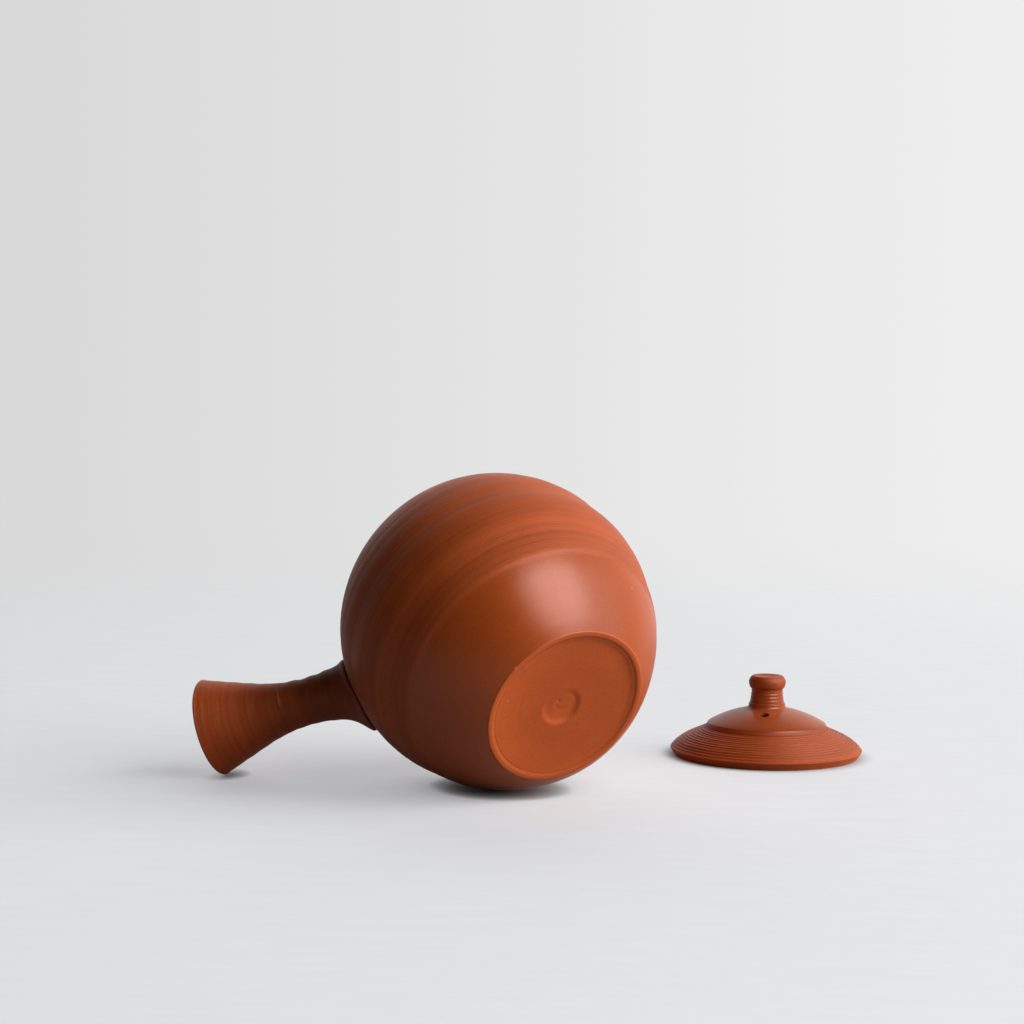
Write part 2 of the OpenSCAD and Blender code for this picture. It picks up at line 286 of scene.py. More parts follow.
def rounded(corners, steps=6):
    """Points through corners (radius, height, fillet), with an arc where there is a fillet."""
    points = []
    for i, (r, h, fillet) in enumerate(corners):
        corner = np.array((r, h))
        if not fillet:
            points.append(corner)
            continue
        back = unit(np.array(corners[i - 1][:2]) - corner)
        ahead = unit(np.array(corners[i + 1][:2]) - corner)
        half = acos(np.clip(back @ ahead, -1, 1)) / 2
        centre = corner + unit(back + ahead) * fillet / sin(half)
        start = corner + back * fillet / tan(half) - centre
        end = corner + ahead * fillet / tan(half) - centre
        sweep = pi - 2 * half
        for t in np.linspace(0, 1, steps + 1):
            points.append(centre + (start * sin((1 - t) * sweep) + end * sin(t * sweep)) / sin(sweep))
    return np.array(points)


def filleted(corners, fillets):
    """Corners (radius, height) with a fillet each."""
    return [(*corner, fillet) for corner, fillet in zip(corners, fillets)]


def spaced(points, step):
    """The same outline with more points, so that no stretch is longer than a step."""
    out = [points[:1]]
    for a, b in zip(points[:-1], points[1:]):
        count = max(1, int(np.ceil(np.linalg.norm(b - a) / step)))
        share = np.linspace(0, 1, count + 1)[1:, None]
        out.append(a + (b - a) * share)
    return np.concatenate(out)


def outward(points):
    """Unit normals of an outline that has its solid on the right of its run."""
    run = np.gradient(points, axis=0)
    normal = np.stack([-run[:, 1], run[:, 0]], axis=1)
    return normal / np.maximum(np.linalg.norm(normal, axis=1, keepdims=True), 1e-9)


# Meshes

def ring_faces(rings, sides, around=False):
    """Quads between neighbouring rings of points; around also joins the last ring to the first."""
    grid = np.arange(rings * sides).reshape(rings, sides)
    low = grid if around else grid[:-1]
    high = np.roll(grid, -1, axis=0) if around else grid[1:]
    quads = [low, np.roll(low, -1, axis=1), np.roll(high, -1, axis=1), high]
    return np.stack(quads, axis=-1).reshape(-1, 4).tolist()


def cap_faces(pole, ring, sides):
    """Triangles from a pole to the ring of points that starts at the index given."""
    return [(pole, ring + i, ring + (i + 1) % sides) for i in range(sides)]


def linked(name, data):
    """New object in the scene."""
    item = bpy.data.objects.new(name, data)
    bpy.context.scene.collection.objects.link(item)
    return item


def new_mesh(name, points, faces):
    mesh = bpy.data.meshes.new(name)
    mesh.from_pydata((points * MM).tolist(), [], faces)
    form = bmesh.new()
    form.from_mesh(mesh)
    bmesh.ops.recalc_face_normals(form, faces=form.faces)
    form.to_mesh(mesh)
    form.free()
    mesh.shade_smooth()
    return linked(name, mesh)


def turned(name, outline, lift, place):
    """Solid turned from an outline that starts and ends on the axis; lift is how far it stands out."""
    sides = lift.shape[1]
    angle = angles(sides)
    normal = outward(outline)
    radii = outline[:, :1] + lift * normal[:, :1]
    heights = outline[:, 1:] + lift * normal[:, 1:]
    grid = round_axis(radii, angle, heights)
    rings = grid[1:-1].reshape(-1, 3)
    poles = np.array([grid[0].mean(axis=0), grid[-1].mean(axis=0)])
    count = len(grid) - 2
    faces = ring_faces(count, sides)
    faces += cap_faces(len(rings), 0, sides)
    faces += cap_faces(len(rings) + 1, (count - 1) * sides, sides)
    return new_mesh(name, carried(np.concatenate([rings, poles]), place), faces)


# Any direction that no hole runs along
ASIDE = (0.3, 0.5, 0.8)
# Slack within which a face counts as part of a hole's wall
HOLE_SLACK = 0.007


def drilled(piece, radius, start, axis, depth, place):
    """Cuts a round hole through a piece; start and axis are in the piece's own frame."""
    axis = unit(axis)
    side = unit(np.cross(axis, ASIDE))
    other = np.cross(axis, side)
    angle = angles(HOLE_SIDES)[:, None]
    circle = radius * (np.cos(angle) * side + np.sin(angle) * other)
    rings = np.concatenate([start + circle, start + depth * axis + circle])
    ends = [list(range(HOLE_SIDES)), list(range(HOLE_SIDES, 2 * HOLE_SIDES))]
    cutter = new_mesh("cutter", carried(rings, place), ring_faces(2, HOLE_SIDES) + ends)
    cut = piece.modifiers.new("hole", "BOOLEAN")
    cut.operation = "DIFFERENCE"
    cut.solver = "EXACT"
    cut.object = cutter
    bpy.context.view_layer.update()
    shaped = piece.evaluated_get(bpy.context.evaluated_depsgraph_get())
    whole = piece.data
    piece.data = bpy.data.meshes.new_from_object(shaped)
    piece.modifiers.clear()
    bpy.data.meshes.remove(whole)
    bpy.data.objects.remove(cutter)


def lined(piece, material, radius, start, axis, place):
    """Gives the wall of a drilled hole a material of its own."""
    middle = carried(np.asarray(start)[None, :], place)[0]
    axis = place[:3, :3] @ unit(axis)
    piece.data.materials.append(material)
    for face in piece.data.polygons:
        away = np.array(face.center) / MM - middle
        if np.linalg.norm(away - (away @ axis) * axis) < radius + HOLE_SLACK:
            face.material_index = 1


def finished(piece, material, body, nodes):
    """Gives a piece its material, its body and the CAD nodes that it replaces."""
    if piece.data.materials:
        piece.data.materials[0] = material
    else:
        piece.data.materials.append(material)
    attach(piece, body)
    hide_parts(*nodes)


# Body

# Turning marks on the skin, of which the first draws the belly in: place, half width, height
SKIN_RINGS = [(4.5, 4.5, -0.6), (18.8, 1.2, -0.12), (13.0, 1.6, -0.14), (6.5, 2.2, 0.08),
              (-5.0, 2.4, 0.10), (-9.5, 1.8, 0.08), (-25.9, 0.7, 0.06), (-31.0, 2.0, 0.03)]
# Shallow valley: place, half width, depth, and share that is round
VALLEY_H = -18.2
VALLEY_W = 6.0
VALLEY_DEPTH = 0.36
VALLEY_ROUND = 0.1
# Slow waves round the skin: depth, number, start, and the height in which they turn by a radian
SKIN_WAVES = [(0.06, 2, 0.5, 30.0), (0.04, 3, 0.0, -17.0)]
# Bands round the turned skin by height, partly the clay's own tone and partly painted light and shade of
# its shallow turned facets and ridges: height, and how pale it is
BAND_TONE_AND_SHADE = [(24.0, 1.02), (19.5, 1.03), (18.0, 0.93), (15.0, 0.99), (13.0, 0.93), (10.0, 1.0),
              (7.0, 0.97), (3.0, 0.99), (-2.0, 1.01), (-6.0, 0.99), (-9.0, 0.95), (-11.8, 0.96),
              (-12.8, 1.05), (-17.6, 1.07), (-18.8, 0.94), (-24.2, 0.93), (-25.4, 0.99),
              (-26.1, 1.04), (-27.0, 1.0)]
# A bundle of fine lines, drawn at a slant
LINE_H = -15.2
LINE_W = 2.4
LINE_PITCH = 0.9
LINE_DEPTH = 0.022
LINE_SLANT = 0.03
# How far from the foot and from the rim the turned skin ends
SKIN_ENDS = (1.6, 1.2)
# Steps of the skin's rings: coarse, fine across the lines, and middling below them
SKIN_STEPS = [(-9.5, 0.4), (-20.5, 0.15), (-BELLY_H, 0.3)]
# Distances from an arm's axis at which marks start and are full
ROOT_CLEAR = (14.0, 22.0)
# Shallow pool in the middle of the foot: radius, offset and its side, half width of the wall, depth,
# and the side on which it is deepest, with how much and how far out
POOL_R = 6.0
POOL_OFF = (0.9, radians(190))
POOL_WALL = 1.2
POOL_DEPTH = 0.75
POOL_DEEP = radians(95)
POOL_TILT = 0.45
POOL_TILT_R = 4.0
# Spiral in the pool, with the radii over which it starts and ends, and its dot
SWIRL_PITCH = 4.4
SWIRL_W = 0.6
SWIRL_DEPTH = 0.12
SWIRL_START = (0.4, 1.6)
SWIRL_END = (4.0, 5.5)
DOT_AT = (-0.8, -2.1)
DOT_R = 0.4
DOT_DEPTH = 0.25
# Deeper cut along one side: depth, how far in it is deepest and ends, and the side
CUT_DEPTH = 0.50
CUT_IN = (3.0, 12.0)
CUT_AT = radians(349)
# Faint arc: radius, half width, depth, and the middle and half width of its angle
ARC_R = 16.4
ARC_W = 0.4
ARC_DEPTH = 0.05
ARC_AT = radians(-132)
ARC_SPAN = 0.6


def body_skin(low, high):
    """Outline of the body's outside between two heights, from the higher one down."""
    heights = []
    for end, step in SKIN_STEPS:
        heights.append(np.arange(high, max(end, low), -step))
        high = end
    h = np.concatenate(heights)
    upper = np.sqrt(BODY_R ** 2 - np.square(h))
    lower = BODY_R - LOWER_R + np.sqrt(LOWER_R ** 2 - np.square(h))
    return np.stack([np.where(h > 0, upper, lower), h], axis=1)


def body_inside():
    """Corners of the hollow and the mouth, from the middle of the floor to the rim's outer edge."""
    slope = tan(LEDGE_SLOPE)
    inner_r = BODY_R - WALL
    a = 1 + slope ** 2
    b = MOUTH_R - LEDGE_H * slope
    c = MOUTH_R ** 2 + LEDGE_H ** 2 - inner_r ** 2
    ledge_run = (sqrt(b * b - a * c) - b) / a
    wall_h = LEDGE_H - ledge_run * slope
    lower_inner = LOWER_R - WALL
    lower_shift = BODY_R - LOWER_R
    floor_r = lower_shift + sqrt(lower_inner ** 2 - FLOOR_H ** 2)
    above_fillet = FLOOR_H + FLOOR_CLEAR * FLOOR_FILLET
    below_ledge = wall_h - LEDGE_CLEAR
    rise = np.arange(asin(above_fillet / lower_inner), 0, INSIDE_STEP / lower_inner)
    lower = np.stack([lower_shift + lower_inner * np.cos(rise), lower_inner * np.sin(rise)], axis=1)
    rise = np.arange(0, asin(below_ledge / inner_r), INSIDE_STEP / inner_r)
    upper = np.stack([inner_r * np.cos(rise), inner_r * np.sin(rise)], axis=1)
    corners = [(0, FLOOR_H, 0), (floor_r, FLOOR_H, FLOOR_FILLET)]
    corners += [(r, h, 0) for r, h in np.concatenate([lower, upper])]
    mouth = [(MOUTH_R + ledge_run, wall_h), (MOUTH_R, LEDGE_H), (MOUTH_R, SEAT_H),
             (LID_FOOT_R + SEAT_GAP, SEAT_H), (LID_R + SEAT_GAP, MOUTH_H), (RIM_R, MOUTH_H)]
    return corners + filleted(mouth, MOUTH_FILLETS)


def foot_corners():
    """Corners of the foot, from its outer edge to its middle."""
    rim_r = FOOT_R - FOOT_RIM_W
    cove_r = rim_r - FOOT_COVE_W
    disc_h = FOOT_RECESS - BELLY_H
    corners = [(FOOT_R, -BELLY_H), (rim_r, -BELLY_H), (cove_r, FOOT_COVE_H - BELLY_H),
               (cove_r - FOOT_DISH_W, disc_h), (0, disc_h)]
    return filleted(corners, FOOT_FILLETS)


def skin_marks(skin, around, arms):
    """How far the turned skin stands out from its plain outline."""
    r, height = skin[:, :1], skin[:, 1:]
    away = (height - VALLEY_H) / VALLEY_W
    sides = np.minimum(np.sqrt(np.square(away) + VALLEY_ROUND ** 2), 1)
    marks = ringed(height, SKIN_RINGS) + VALLEY_DEPTH * (sides - 1)
    slanted = height + LINE_SLANT * BODY_R * np.cos(around)
    lines = np.cos(2 * pi * slanted / LINE_PITCH) * bell((slanted - LINE_H) / LINE_W)
    uneven = sum(depth * np.sin(count * around + start + height / turn)
                 for depth, count, start, turn in SKIN_WAVES)
    clear = clear_of(arms, round_axis(r, around, height))
    return clear * (marks + LINE_DEPTH * lines + uneven)


def foot_marks(r, around):
    """How far the foot is cut in, inside its rim, by its pool, spiral, dot, arc and deeper side."""
    wall = POOL_R + POOL_OFF[0] * np.cos(around - POOL_OFF[1])
    pool = 1 - smooth_step(r, wall - POOL_WALL, wall + POOL_WALL)
    tilt = POOL_TILT * np.cos(around - POOL_DEEP) * smooth_step(r, 0, POOL_TILT_R)
    pool = pool * (1 - POOL_TILT + tilt)
    turns = (r - around / (2 * pi) * SWIRL_PITCH) / SWIRL_PITCH
    away = (turns - np.round(turns)) * SWIRL_PITCH
    spiral = bell(away / SWIRL_W) * smooth_step(r, *SWIRL_START) * (1 - smooth_step(r, *SWIRL_END))
    dot = bell(np.hypot(r * np.cos(around) - DOT_AT[0], r * np.sin(around) - DOT_AT[1]) / DOT_R)
    turned_off = np.angle(np.exp(1j * (around - ARC_AT)))
    arc = bell((r - ARC_R) / ARC_W) * bell(turned_off / ARC_SPAN)
    inward = FOOT_R - FOOT_RIM_W - r
    cut = smooth_step(inward, 0, CUT_IN[0]) * (1 - smooth_step(inward, *CUT_IN))
    cut = cut * one_side(around, CUT_AT)
    turning = POOL_DEPTH * pool + SWIRL_DEPTH * spiral + DOT_DEPTH * dot
    return (inward > 0) * (turning + ARC_DEPTH * arc + CUT_DEPTH * cut)


def clear_of(arms, points):
    """0 near the root of an arm and 1 away from all arms, at points in the pot's frame."""
    clear = np.ones(points.shape[:-1])
    for place in arms:
        away = points - place[:3, 3]
        axis = place[:3, 2]
        along = away @ axis
        off = np.linalg.norm(away - along[..., None] * axis, axis=-1)
        clear = clear * np.where(along > 0, smooth_step(off, *ROOT_CLEAR), 1)
    return clear


def pot_body(pot, arms):
    """Body with its hollow, mouth, turned skin and marked foot; arms are frames in the pot's frame."""
    skin = body_skin(SKIN_ENDS[0] - BELLY_H, MOUTH_H - SKIN_ENDS[1])
    inside = rounded(body_inside() + [(*skin[0], 0)])[:-1]
    foot = rounded([(*skin[-1], 0)] + foot_corners())[1:]
    inside = spaced(inside, HOLLOW_SPACING)
    foot = spaced(foot, FOOT_SPACING)
    around = angles(BODY_SIDES)[None, :]
    lift = np.concatenate([np.zeros((len(inside), BODY_SIDES)), skin_marks(skin, around, arms),
                           -foot_marks(foot[:, :1], around)])
    return turned("kyusu_body", np.concatenate([inside, skin, foot]), lift, pot)


# Arms

# Throwing rings on the handle: place along it, half width, height
HANDLE_RINGS = [(102.6, 0.7, 0.05), (99.8, 0.9, 0.06), (96.9, 0.8, -0.06), (94.2, 0.9, 0.06),
                (91.3, 0.8, -0.06), (88.6, 0.8, 0.05), (85.9, 0.7, -0.06), (83.4, 0.7, 0.05),
                (77.0, 1.2, -0.10), (71.8, 1.0, -0.06)]
# Fine ridge at the waist of the handle: place, half width, height and slant; how far to the front and
# the top it begins and is full, and where its middle is
RIDGE_AT = 78.4
RIDGE_W = 0.28
RIDGE_H = 0.32
RIDGE_SLANT = 1.6
RIDGE_FRONT = (0.3, 0.7)
RIDGE_UP = (0.5, 0.65)
RIDGE_MIDDLE = 0.75
# Light and shade painted along the handle, paler at its lit end and darker towards its root in the body's
# shadow: distance, and how pale it is
HANDLE_PAINTED_SHADE = [(106.0, 1.12), (92.0, 1.12), (78.0, 0.82), (66.0, 0.61), (46.0, 0.57)]
# Finger marks near the root: place, half width, height; their slant, and their share below
FINGER_MARKS = [(74.6, 1.6, 0.22), (68.8, 2.0, 0.34), (63.4, 1.8, 0.38)]
FINGER_SLANT = 0.8
FINGER_BELOW = 0.35
# Flatter run of the handle's upper side: place, half width, height
HANDLE_BACK = (76.0, 20.0, 0.5)
# Collars at the roots: half width and height; and the fillet of their edge: least, growth towards two
# sides, and how narrow that growth is
HANDLE_COLLAR_ABOVE = (1.4, 1.3)
HANDLE_COLLAR_BELOW = (5.2, 2.9)
SPOUT_COLLAR = (1.5, 0.7)
ROOT_EDGE = (0.8, 1.4, 4)
LIP_FILLET = 0.9
# Rings on the spout: depth, pitch, start; and its unevenness: depth, and its turn
SPOUT_RINGS = [(0.04, 3.1, 0.0), (0.03, 1.7, 1.0)]
SPOUT_UNEVEN = (0.05, 9.0)
# Range along an arm in which its root is looked for, and how often it is halved
ROOT_RANGE = (35.0, 75.0)
ROOT_HALVINGS = 40
# Rows of points on an arm: distances from its root, then their number, and that on half of the lip
ROOT_ROWS = np.concatenate([np.linspace(0, 1.5, 14), np.linspace(1.8, 10, 30)])
ARM_ROWS = 240
LIP_ROWS = 7


def body_along(rise, drop):
    """Distance along an arm's axis at which it meets the body."""
    return drop * sin(rise) + sqrt(BODY_R ** 2 - (drop * cos(rise)) ** 2)


def handle_radius(along):
    """Outside radius of the handle at distances from the pot's axis."""
    neck = HANDLE_REACH - HANDLE_NECK_BACK
    root = body_along(HANDLE_RISE, HANDLE_DROP)
    swell = HANDLE_ROOT_R - HANDLE_NECK_R
    root_curve = ((neck - root) ** 2 + swell ** 2) / (2 * swell)
    rise = HANDLE_END_R - HANDLE_NECK_R - HANDLE_CURVE_R
    reach = sqrt(HANDLE_NECK_BACK ** 2 + rise ** 2)
    slope = acos(-rise / reach) - acos(HANDLE_CURVE_R / reach)
    back = neck - along
    to_root = HANDLE_NECK_R + root_curve - np.sqrt(np.maximum(root_curve ** 2 - back ** 2, 0))
    curve = HANDLE_NECK_R + HANDLE_CURVE_R - np.sqrt(np.maximum(HANDLE_CURVE_R ** 2 - back ** 2, 0))
    straight = HANDLE_END_R - (HANDLE_REACH - along) * tan(slope)
    outer = np.where(-back < HANDLE_CURVE_R * sin(slope), curve, straight)
    return np.where(back > 0, to_root, outer)


def handle_marks(along, around):
    """How far rings, ridge and finger marks stand out from the handle's plain form."""
    top = one_side(around, HANDLE_TOP)
    front = np.cos(around - HANDLE_FRONT)
    on_ridge = smooth_step(front, *RIDGE_FRONT) * smooth_step(top, *RIDGE_UP)
    ridge_at = RIDGE_AT + RIDGE_SLANT * (top - RIDGE_MIDDLE)
    marks = ringed(along, HANDLE_RINGS) + RIDGE_H * bell((along - ridge_at) / RIDGE_W) * on_ridge
    marks = marks + ringed(along, [HANDLE_BACK]) * top
    left = FINGER_BELOW + (1 - FINGER_BELOW) * top
    for i, (at, width, height) in enumerate(FINGER_MARKS):
        away = along - at - FINGER_SLANT * np.cos(around + i)
        marks = marks + height * bell(away / width) * left
    return marks


def flare(from_root, width, height):
    """Height of a collar that falls away from an arm's root."""
    return height * bell(from_root / width)


def handle_collar(from_root, around):
    """Flare of the handle's collar, short on its upper side and long on its lower side."""
    share = one_side(around, HANDLE_TOP)
    above = flare(from_root, *HANDLE_COLLAR_ABOVE)
    below = flare(from_root, *HANDLE_COLLAR_BELOW)
    return above * share + below * (1 - share)


def spout_radius(along):
    """Outside radius of the spout at distances from the pot's axis."""
    root = body_along(SPOUT_RISE, SPOUT_DROP)
    share = np.maximum((SPOUT_REACH - along) / (SPOUT_REACH - root), 0)
    return SPOUT_TIP_R + (SPOUT_ROOT_R - SPOUT_TIP_R) * share ** SPOUT_FLARE


def spout_collar(from_root, around):
    """Flare of the spout's collar, the same all round."""
    return flare(from_root, *SPOUT_COLLAR) * np.ones_like(around)


def spout_marks(along, around):
    """How far fine turning rings stand out from the spout's plain form."""
    rings = sum(depth * np.sin(2 * pi * along / pitch + start) for depth, pitch, start in SPOUT_RINGS)
    depth, turn = SPOUT_UNEVEN
    return rings + depth * np.sin(2 * around + along / turn)


def root_along(radius, place):
    """Distance along an arm, at each angle round it, at which a radius rule meets the slip on the body."""
    angle = angles(ARM_SIDES)
    round_arm = np.cos(angle)[:, None] * place[:3, 0] + np.sin(angle)[:, None] * place[:3, 1]
    low = np.full(ARM_SIDES, ROOT_RANGE[0])
    high = np.full(ARM_SIDES, ROOT_RANGE[1])
    for _ in range(ROOT_HALVINGS):
        middle = (low + high) / 2
        at = place[:3, 3] + middle[:, None] * place[:3, 2] + radius(middle, angle)[:, None] * round_arm
        inside = np.linalg.norm(at, axis=1) < BODY_R + SLIP_T
        low = np.where(inside, middle, low)
        high = np.where(inside, high, middle)
    return low


def arm_outside(radius, marks, collar, root, end):
    """Distances along an arm and radii of its outside, from its root to the start of its lip."""
    angle = angles(ARM_SIDES)
    start = root + ROOT_ROWS[-1]
    share = np.linspace(0, 1, ARM_ROWS)[1:, None]
    along = np.concatenate([root + ROOT_ROWS[:, None], start + (end - start) * share])
    from_root = along - root
    least, growth, power = ROOT_EDGE
    fillet = least + growth * np.cos(angle - HANDLE_TOP) ** power
    edge = np.maximum(fillet - from_root, 0)
    outer = radius(along) + marks(along, angle) + collar(from_root, angle)
    return along, outer - fillet + np.sqrt(fillet ** 2 - edge ** 2)


def arm(name, radius, marks, collar, wall, reach, local, pot):
    """Hollow arm from the body to an open end, with a collar at its root and a rounded lip."""
    angle = angles(ARM_SIDES)
    outer_root = root_along(lambda s, a: radius(s) + marks(s, a) + collar(0, a), local)
    inner_root = root_along(lambda s, a: radius(s) - wall, local)
    end = reach - LIP_FILLET
    along, outer = arm_outside(radius, marks, collar, outer_root, end)

    turn = np.linspace(0, pi / 2, LIP_ROWS)[1:, None]
    lip_r = radius(np.array(reach))
    lip_out = lip_r + LIP_FILLET * (np.cos(turn) - 1) + marks(np.array(reach), angle)
    lip_in = lip_r - wall + LIP_FILLET * (1 - np.cos(turn[::-1]))
    lip_at = end + LIP_FILLET * np.sin(turn)
    inner_along = inner_root + (end - inner_root) * np.linspace(1, 0, LONG_ROWS)[:, None]
    ones = np.ones(ARM_SIDES)
    alongs = np.concatenate([along, lip_at * ones, lip_at[::-1] * ones, inner_along])
    radii = np.concatenate([outer, lip_out * ones, lip_in * ones, radius(inner_along) - wall])
    points = round_axis(radii, angle, alongs)
    faces = ring_faces(len(alongs), ARM_SIDES, around=True)
    return new_mesh(name, carried(points.reshape(-1, 3), pot @ local), faces)


# Lid

# How far from the step the dome's underside and top end
UNDER_END = 2.0
DOME_END = 1.2


def dome_height(r, inset=0.0):
    """Height of the lid's dome, or of a dome parallel to it on its inside."""
    return DOME_H - DOME_R + np.sqrt((DOME_R - inset) ** 2 - np.square(r))


def lid_outline():
    """Outline of the lid, from the middle of its underside round its edge to the middle of its top."""
    shoulder = np.array((LID_R - LID_SHOULDER_W, LID_EDGE_H + LID_SHOULDER_H))
    step_foot = np.array((STEP_R + STEP_RISE / 2, STEP_H - STEP_RISE))
    run = unit(step_foot - shoulder)
    up = np.array((run[1], -run[0]))
    under_step = step_foot - LID_T * up
    hollow_r = LID_FOOT_R - LID_RING_W
    hollow_h = under_step[1] + (hollow_r - under_step[0]) * run[1] / run[0]
    under = [(r, dome_height(r, LID_T), 0) for r in np.linspace(0, under_step[0] - UNDER_END, SHORT_ROWS)]
    edge = [under_step, (hollow_r, hollow_h), (hollow_r, 0), (LID_FOOT_R, 0), (LID_R, LID_EDGE_H),
            shoulder, step_foot, (STEP_R, STEP_H)]
    top = [(r, dome_height(r), 0) for r in np.linspace(STEP_R - DOME_END, 0, LONG_ROWS)]
    return rounded(under + filleted(edge, LID_FILLETS) + top), shoulder, step_foot


def lid_turning(points, shoulder, step_foot, around):
    """How far the lid's cone stands out: its bulge, less its grooves."""
    run = step_foot - shoulder
    length = np.linalg.norm(run)
    along = (points - shoulder) @ run / length
    sunk = (points - shoulder) @ (-run[1], run[0]) / length
    on_cone = (sunk < LID_T / 2) & (points[:, 1] > LID_EDGE_H) & (along < length)
    share = np.clip(along / length, 0, 1)
    bulge = CONE_BULGE * np.sin(pi * share) * (1 - share)
    pitch = length / GROOVES
    number = np.round(along / pitch)
    groove = bell((along - number * pitch) / (GROOVE_W * pitch))
    depth = GROOVE_DEPTH * (1 + GROOVE_VARIES[0] * np.sin(GROOVE_VARIES[1] * number)) * groove
    worn = 1 + GROOVE_WORN[0] * np.sin(2 * around + number[:, None] * GROOVE_WORN[1])
    return (bulge[:, None] - depth[:, None] * worn) * on_cone[:, None]


def lid_form(place, material, vent_shade_material):
    """Lid with its turned grooves, step, dome and vent, whose wall takes a near-black material as painted
    shade.
    """
    outline, shoulder, step_foot = lid_outline()
    outline = spaced(outline[::-1], LID_SPACING)
    around = angles(LID_SIDES)[None, :]
    lift = lid_turning(outline, shoulder, step_foot, around)
    piece = turned("kyusu_lid", outline, lift, place)
    at = np.array((VENT_AT * sin(VENT_TURN), -VENT_AT * cos(VENT_TURN), float(dome_height(VENT_AT))))
    axis = unit(at - (0, 0, DOME_H - DOME_R))
    drilled(piece, VENT_R, at - 2 * LID_T * axis, axis, 4 * LID_T, place)
    piece.data.materials.append(material)
    # The vent's wall takes the near-black slip clay as painted shade inside the hole
    lined(piece, vent_shade_material, VENT_R, at, axis, place)
    return piece


# Knob

# Rings on the neck: share of its height, and depth; and their half width as a share of its height
KNOB_RINGS = [(0.30, 0.10), (0.52, 0.12), (0.74, 0.10)]
KNOB_RING_W = 0.05
# Straight part of the neck, in shares of its height, its inset from the base ring, and that ring's fillets
KNOB_NECK_ENDS = (0.04, 0.94)
KNOB_STEP = 0.35
KNOB_BASE_FILLETS = (0, 0.15, 0.3)
# Slant of the head above its bulge: 1 is a round bulge and 2 a straight slope
KNOB_SLANT = 1.4
# The dish of the head: radius of its flat middle, and how far in from the top's edge it starts
DISH_R = 1.5
DISH_EDGE = 0.3
# Points along each half of the head
HEAD_ROWS = 14
# How far the slip reaches into the dome that it lies on
SLIP_BITE = 0.02


def knob_form(place):
    """Knob with a base ring, a ringed neck and a bulged, slightly dished head."""
    base_h = float(dome_height(KNOB_FOOT_R)) + SLIP_T
    ring_h = base_h + KNOB_RING_H
    head_low = KNOB_TOP_H - KNOB_HEAD_H
    bulge_h = KNOB_TOP_H - KNOB_BULGE_DROP
    taper = KNOB_FOOT_R - KNOB_STEP - KNOB_NECK_R
    bulge = KNOB_HEAD_R - KNOB_NECK_R
    lean = KNOB_HEAD_R - KNOB_TOP_R
    neck = [(KNOB_NECK_R + taper * (1 - t), ring_h + (head_low - ring_h) * t, 0)
            for t in np.linspace(*KNOB_NECK_ENDS, LONG_ROWS)]
    sweep = np.linspace(0, pi / 2, HEAD_ROWS)
    under = [(KNOB_NECK_R + bulge * cos(a), bulge_h - (bulge_h - head_low) * sin(a), 0)
             for a in sweep[-2::-1]]
    over = [(KNOB_TOP_R + lean * cos(a) ** KNOB_SLANT, bulge_h + KNOB_BULGE_DROP * sin(a) ** KNOB_SLANT, 0)
            for a in sweep[1:]]
    dish = [(r, KNOB_TOP_H - KNOB_DISH * float(1 - smooth_step(r, DISH_R, KNOB_TOP_R)), 0)
            for r in np.linspace(KNOB_TOP_R - DISH_EDGE, 0, SHORT_ROWS)]
    base = filleted([(0, base_h), (KNOB_FOOT_R, base_h), (KNOB_FOOT_R, ring_h)], KNOB_BASE_FILLETS)
    outline = spaced(rounded(base + neck + under + over + dish), KNOB_SPACING)
    share = (outline[:, 1] - ring_h) / (head_low - ring_h)
    for at, depth in KNOB_RINGS:
        outline[:, 0] -= depth * bell((share - at) / KNOB_RING_W)
    return turned("kyusu_knob", outline, np.zeros((len(outline), KNOB_SIDES)), place)


def knob_fillet(place):
    """Slip under the knob, smoothed into a cove round its foot."""
    outer_r = KNOB_FOOT_R + KNOB_FILLET
    seat_h = float(dome_height(KNOB_FOOT_R))
    base_h = seat_h + SLIP_T
    low = float(dome_height(outer_r))
    slope = (seat_h - low) / KNOB_FILLET
    climb = base_h + KNOB_RING_H / 2 - seat_h
    cove = []
    for a in np.linspace(0, pi / 2, SHORT_ROWS):
        run = KNOB_FILLET * sin(a)
        cove.append((outer_r - run, low + slope * run + climb * (1 - cos(a)), 0))
    corners = [(0, seat_h - SLIP_BITE, 0), (KNOB_FOOT_R, seat_h - SLIP_BITE, 0)] + cove
    corners += [(KNOB_FOOT_R, base_h, 0), (0, base_h, 0)]
    outline = spaced(rounded(corners), SLIP_SPACING)
    return turned("kyusu_knob_slip", outline, np.zeros((len(outline), KNOB_SIDES)), place)


# Materials

def feed(tree, node, inputs):
    """Sets a node's inputs to values, or links them to sockets."""
    for name, value in inputs.items():
        if isinstance(value, bpy.types.NodeSocket):
            tree.links.new(value, node.inputs[name])
        else:
            node.inputs[name].default_value = value


def add(tree, kind, inputs=None, **settings):
    """New shader node with its settings and its inputs."""
    node = tree.nodes.new("ShaderNode" + kind)
    for name, value in settings.items():
        setattr(node, name, value)
    feed(tree, node, inputs or {})
    return node


def new_material(name):
    """Material with its node tree and its shader."""
    material = bpy.data.materials.new(name)
    material.use_nodes = True
    return material, material.node_tree, material.node_tree.nodes["Principled BSDF"]


def maths(operation, a, b):
    """Result of an operation on two sockets, or on a socket and a number."""
    tree = (b if isinstance(a, float) else a).id_data
    return add(tree, "Math", {0: a, 1: b}, operation=operation).outputs[0]


def plus(a, b):
    return maths("ADD", a, b)


def times(a, b):
    return maths("MULTIPLY", a, b)


def blended(a, b, share):
    """Mix of two values, in which the second one has the share given."""
    return plus(times(a, 1 - share), times(b, share))


def vector_maths(operation, inputs, output="Vector"):
    return add(inputs[0].id_data, "VectorMath", inputs, operation=operation).outputs[output]


def along_axis(vector, axis):
    return add(vector.id_data, "SeparateXYZ", {0: vector}).outputs[axis]


